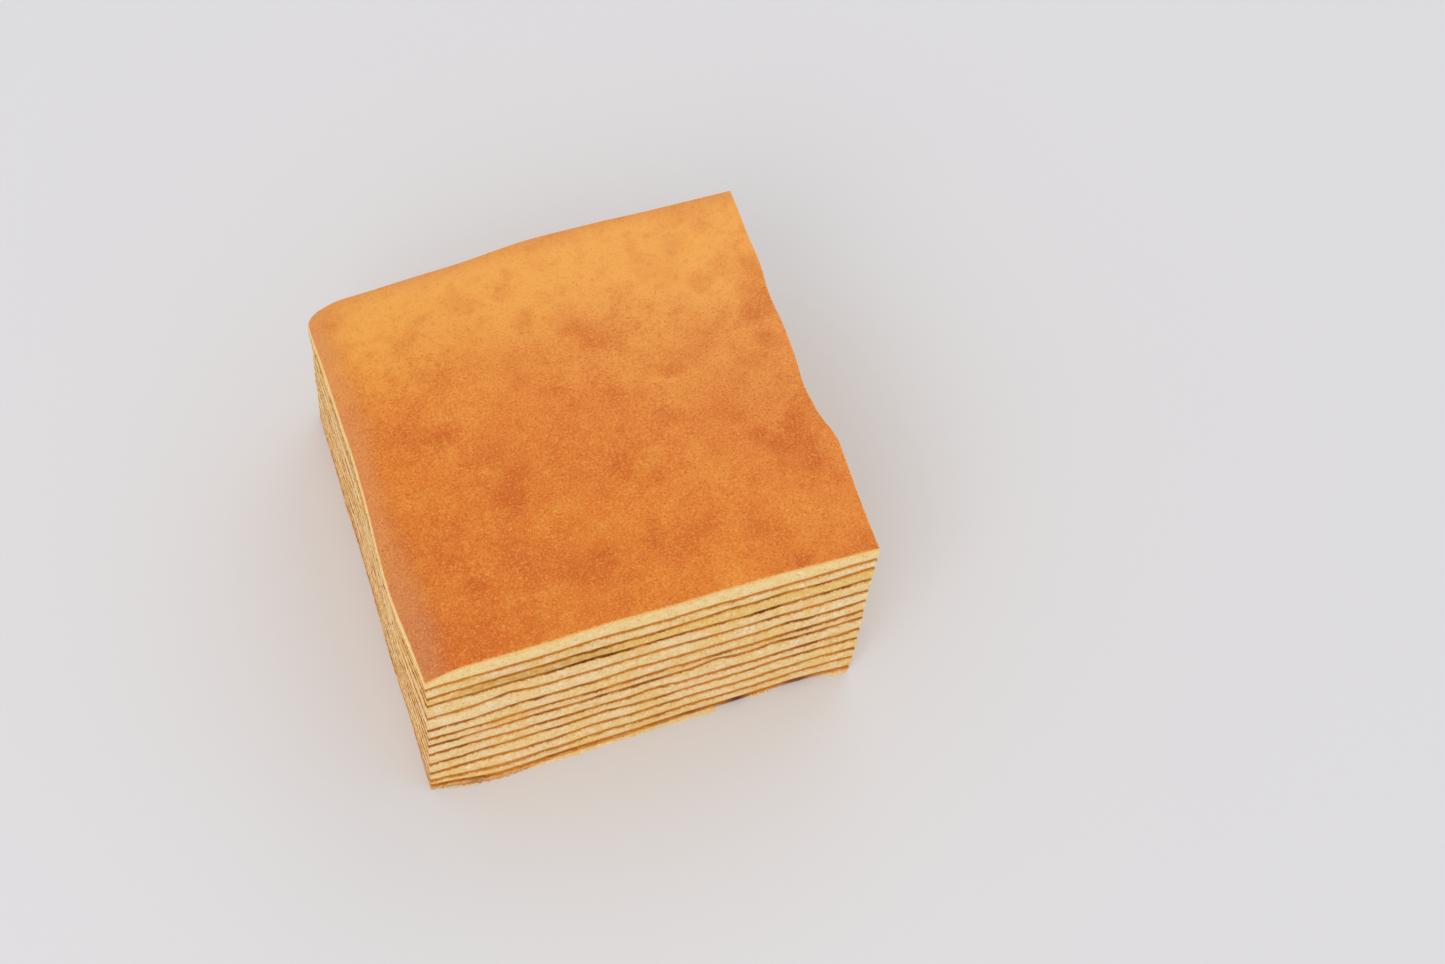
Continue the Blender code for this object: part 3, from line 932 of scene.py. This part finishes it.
def make_crust_material(name, colours):
    """The last layer: pale crumb at its sides and the smooth golden crust on top."""
    material, shader, place = start_material(name)
    # The last layer's crumb takes 0.75 of the brighter crumb as painted light.
    crumb, speckle, grain = crumb_colour(place, colours, 0.20, 0.60, 1.0, 0.75)
    spread = add_node("ShaderNodeSeparateXYZ", {"Vector": place})
    warp = add_noise(place, WARP_SCALE, 2.0)
    fine = add_noise(place, FINE_SCALE, 2.0, 0.45)
    pimples = add_noise(place, PIMPLE_SCALE, 3.0, 0.6)
    dust = add_noise(place, DUST_SCALE, 3.0, 0.7)
    back = add_jitter(spread.outputs["Y"], warp, BACK_WARP)
    back = plus(back, times(spread.outputs["X"], BACK_SLANT))
    crust = tint_crust(colours, spread, back)
    crust = spot_crust(place, colours, crust, back)
    crust = grain_crust(crust, fine, 0.30, 0.30, 0.22, colours)
    from_rim = add_jitter(read_mark(shader, "from_rim"), warp, 1.5)
    crust = tint(crust, from_rim, *RIM, 0.45, colours.rim)
    crust = grain_crust(crust, pimples, 0.28, 0.28, 0.28, colours)
    crust = tint(crust, from_rim, *PINK_RIM, 0.46, colours.pink_rim)
    dull = ramp(spread.outputs["Y"], *DULL_FRONT)
    dull = times(dull, ramp(from_rim, *DULL_RIM, 0.0, 0.32))
    crust = blend(dull, crust, colours.dull_rim)
    # Fine light grain of the crust, partly painted glints.
    crust = tint(crust, dust, 0.50, 0.70, 0.56, colours.light_dust_and_glints)
    dark_dust = ramp(back, *FAINT_DUST, 1.0, 0.40)
    dark_dust = times(dark_dust, ramp(dust, 0.48, 0.29, 0.0, 0.80))
    crust = blend(dark_dust, crust, colours.dark_dust)
    from_cut = add_jitter(read_mark(shader, "from_cut"), grain, 0.25)
    crust = tint(crust, from_cut, *CRUST_FRINGE, 0.50, colours.edge)
    # The pale crumb of the sides takes over under the thin line of the crust.
    under = read_mark(shader, "under_skin")
    side = tint(crumb, add_jitter(under, fine, 0.20), *CRUST_GLOW, 0.75, colours.edge)
    side = tint(side, read_mark(shader, "above_sole"), *SOLE, 0.45, colours.skin)
    wall = ramp(read_mark(shader, "on_wall"), 0.35, 0.75)
    below = ramp(add_jitter(under, grain, 0.12), *CRUST_THICKNESS)
    on_side = times(wall, below)
    crust_normal = add_bump(plus(dust, pimples), 0.62, CRUST_BUMP)
    normal = add_node("ShaderNodeMix", {
        0: on_side, 4: crust_normal, 5: crumb_bump(place, speckle, grain)},
        data_type="VECTOR").outputs[1]
    satin = ramp(fine, 0.3, 0.7, 0.40, 0.54)
    rough = add_node("ShaderNodeMix", {0: on_side, 2: satin, 3: 0.75}).outputs[0]
    feed(shader, {
        "Base Color": blend(on_side, crust, side), "Normal": normal, "Roughness": rough,
        "Specular IOR Level": 0.28})
    scatter_light(shader, 0.08, CRUST_SCATTER)
    return material


def finish_piece(piece, node, material):
    """Gives a piece its material and its place in the frame; crumbs replace no node."""
    piece.data.materials.clear()
    piece.data.materials.append(material)
    select_only(piece)
    bpy.ops.object.shade_smooth_by_angle(angle=SMOOTH_ANGLE)
    deselect_everything()
    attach(piece, "root")
    if node:
        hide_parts(node)


class LAYERCAKE_OT_crumb_layers(bpy.types.Operator):
    """Builds the pale layers under the crust, each with its browned skin"""

    bl_idname = "layer_cake.crumb_layers"
    bl_label = "Crumb Layers"

    def execute(self, context):
        sizes = context.scene.layer_cake_sizes
        colours = context.scene.layer_cake_colours
        thicknesses = np.diff(np.array(((0, 0, 0),) + LAYER_TOPS), axis=0).max(axis=1)
        for layer, baking in enumerate(BAKING, start=1):
            rings = max(FEWEST_RINGS, round(thicknesses[layer - 1] * MM / sizes.wall_cell))
            piece = add_slab(f"crumb_layer_{layer:02d}", COARSE_CELLS, sizes.wall_cells, rings)
            wrap_layer(piece, layer, sizes)
            roughen_cut(piece, sizes)
            material = make_crumb_material(f"crumb {layer:02d}", colours, baking, layer == 1)
            finish_piece(piece, f"layer_{layer:02d}", material)
        return {"FINISHED"}


class LAYERCAKE_OT_crust_layer(bpy.types.Operator):
    """Builds the last layer with its smooth golden crust"""

    bl_idname = "layer_cake.crust_layer"
    bl_label = "Crust Layer"

    def execute(self, context):
        sizes = context.scene.layer_cake_sizes
        colours = context.scene.layer_cake_colours
        piece = add_slab("crust_layer", CRUST_CELLS, CRUST_CELLS, CRUST_RINGS)
        unit = wrap_layer(piece, LAYERS, sizes)
        roughen_cut(piece, sizes)
        inside = np.clip(from_outline(unit[:, 0], unit[:, 1]) / CRUST_EDGE_FADE, 0, 1)
        add_group(piece, "crust", (unit[:, 2] > 1 - NEARLY) * inside)
        add_relief(piece, "slow dimples", "CLOUDS", CRUST_DIMPLES, sizes.crust_relief, "crust")
        finish_piece(piece, f"layer_{LAYERS:02d}", make_crust_material("golden crust", colours))
        return {"FINISHED"}


class LAYERCAKE_OT_foot(bpy.types.Operator):
    """Builds the thin flaps and the crumbs that the knife left along the front's foot"""

    bl_idname = "layer_cake.foot"
    bl_label = "Foot Flaps and Crumbs"

    def execute(self, context):
        material = make_pressed_material("pressed crumb", context.scene.layer_cake_colours)
        for number, flap in enumerate(FOOT_FLAPS, start=1):
            piece = self.add_flap(f"foot_flap_{number}", np.array(flap), number)
            finish_piece(piece, None, material)
        crumbs = [self.add_crumb(*crumb, number) for number, crumb in enumerate(FOOT_CRUMBS)]
        select_only(*crumbs)
        bpy.ops.object.join()
        crumbs[0].name = "foot_crumbs"
        finish_piece(crumbs[0], None, material)
        return {"FINISHED"}

    def add_flap(self, name, line, number):
        """A thin ragged lip of crumb, from inside the lowest layer to its own edge."""
        start, end = line[0, 0], line[-1, 0]
        deselect_everything()
        bpy.ops.mesh.primitive_grid_add(
            x_subdivisions=round((end - start) * FLAP_CELLS), y_subdivisions=FLAP_ROWS,
            size=1.0, location=(0.5, 0.5, 1.0))
        piece = bpy.context.object
        bpy.ops.object.transform_apply()
        bpy.ops.object.mode_set(mode="EDIT")
        bpy.ops.mesh.select_all(action="SELECT")
        bpy.ops.mesh.extrude_region_move(TRANSFORM_OT_translate={"value": (0, 0, -1.0)})
        face_outwards()
        piece.name = piece.data.name = name
        unit = read_points(piece.data)
        u = start + (end - start) * unit[:, 0]
        across = u * WIDTH
        reach = unit[:, 1]
        level = np.zeros_like(u)
        edge = np.interp(u, line[:, 0], line[:, 1])
        edge = edge + (0.22 * ripple(across, level, 3.4, number * 7.0)
                       + 0.12 * ripple(across, level, 0.8, number + 50.0))
        out = front_foot(u) + FLAP_ROOT + (np.maximum(edge, FLAP_LEAST) - FLAP_ROOT) * reach
        lumps = (1 + 0.20 * ripple(across, out, 2.4, number * 3.0)
                 + 0.10 * ripple(across, out, 0.6, 9.0))
        height = (FLAP_THICKNESS * np.sqrt(np.clip(1 - reach, 0, 1)) + FLAP_LIP) * lumps
        x, y = plan_places(u, level, level)
        place_points(piece.data, x, y - out, np.where(unit[:, 2] > 0.5, height, 0.0))
        return piece

    def add_crumb(self, u, out, radius, number):
        """One broken crumb that lies against the foot."""
        x, y = plan_places(np.array([u]), np.zeros(1), np.zeros(1))
        middle = Vector((x[0], y[0] - front_foot(u) - out, radius * CRUMB_SINK)) * MM
        deselect_everything()
        bpy.ops.mesh.primitive_ico_sphere_add(subdivisions=4, radius=radius * MM, location=middle)
        piece = bpy.context.object
        bpy.ops.object.transform_apply()
        for vertex in piece.data.vertices:
            away = vertex.co - middle
            spot = away / (radius * MM) * 1.3 + Vector((number * 3.7, 0, 0))
            grown = 1 + sum(rise * noise.noise(spot * close) for rise, close in CRUMB_LUMPS)
            vertex.co = middle + away * grown * Vector(CRUMB_STRETCH)
            vertex.co.z = max(vertex.co.z, 0.0)
        return piece


class LAYERCAKE_OT_stage(bpy.types.Operator):
    """Builds the plain pale floor, the soft lights and the camera"""

    bl_idname = "layer_cake.stage"
    bl_label = "Stage"

    def execute(self, context):
        stage = context.scene.layer_cake_stage
        colours = context.scene.layer_cake_colours
        deselect_everything()
        bpy.ops.mesh.primitive_plane_add(size=FLOOR_SIZE, location=(0, 0, 0))
        floor = context.object
        floor.name = "floor"
        material, shader, _ = start_material("pale floor")
        feed(shader, {"Base Color": colours.floor, "Roughness": 0.8, "Specular IOR Level": 0.2})
        floor.data.materials.append(material)
        world = context.scene.world or bpy.data.worlds.new("room")
        context.scene.world = world
        world.use_nodes = True
        room = world.node_tree.nodes["Background"]
        room.inputs["Color"].default_value = ROOM_COLOUR
        room.inputs["Strength"].default_value = stage.sky_strength
        self.add_light("window light", WINDOW_PLACE, stage.key_strength)
        self.add_light("fill light", FILL_PLACE, stage.fill_strength)
        self.add_camera(context, stage)
        context.scene.view_settings.view_transform = "Standard"
        return {"FINISHED"}

    def add_light(self, name, place, strength):
        """A large soft square light that faces the block."""
        bpy.ops.object.light_add(type="AREA", location=place)
        light = bpy.context.object
        light.name = name
        light.data.size = LIGHT_SIZE
        light.data.energy = strength
        light.rotation_euler = (-Vector(place)).to_track_quat("-Z", "Y").to_euler()

    def add_camera(self, context, stage):
        """The camera at the photograph's place and angle."""
        level = math.cos(stage.camera_tilt)
        sight = Vector((math.sin(stage.camera_turn) * level, math.cos(stage.camera_turn) * level,
                        -math.sin(stage.camera_tilt)))
        turn = sight.to_track_quat("-Z", "Y") @ Quaternion((0, 0, 1), stage.camera_roll)
        bpy.ops.object.camera_add(location=stage.camera_place, rotation=turn.to_euler())
        camera = context.object
        camera.data.sensor_width = SENSOR_WIDTH
        camera.data.lens = stage.camera_lens
        camera.data.clip_start = NEAR_CLIP
        context.scene.camera = camera


class LAYERCAKE_PT_panel(bpy.types.Panel):
    """Lists the cake's operators and settings in the sidebar"""

    bl_label = "Layer Cake"
    bl_idname = "LAYERCAKE_PT_panel"
    bl_space_type = "VIEW_3D"
    bl_region_type = "UI"
    bl_category = "Layer Cake"

    def draw(self, context):
        for operator in OPERATORS:
            self.layout.operator(operator.bl_idname)
        for name in SETTINGS:
            settings = getattr(context.scene, name)
            box = self.layout.box()
            for value in settings.bl_rna.properties:
                if not value.is_readonly and value.identifier != "name":
                    box.prop(settings, value.identifier)


OPERATORS = (
    LAYERCAKE_OT_stage,
    LAYERCAKE_OT_crumb_layers,
    LAYERCAKE_OT_crust_layer,
    LAYERCAKE_OT_foot,
)
SETTINGS = {
    "layer_cake_sizes": LayerCakeSizes,
    "layer_cake_colours": LayerCakeColours,
    "layer_cake_stage": LayerCakeStage,
}


def register():
    for group in SETTINGS.values():
        bpy.utils.register_class(group)
    for name, group in SETTINGS.items():
        setattr(bpy.types.Scene, name, bpy.props.PointerProperty(type=group))
    for operator in OPERATORS:
        bpy.utils.register_class(operator)
    bpy.utils.register_class(LAYERCAKE_PT_panel)


def unregister():
    bpy.utils.unregister_class(LAYERCAKE_PT_panel)
    for operator in reversed(OPERATORS):
        bpy.utils.unregister_class(operator)
    for name in SETTINGS:
        delattr(bpy.types.Scene, name)
    for group in reversed(SETTINGS.values()):
        bpy.utils.unregister_class(group)


def main():
    register()
    bpy.ops.layer_cake.stage()
    bpy.ops.layer_cake.crumb_layers()
    bpy.ops.layer_cake.crust_layer()
    bpy.ops.layer_cake.foot()


if __name__ == "__main__":
    main()
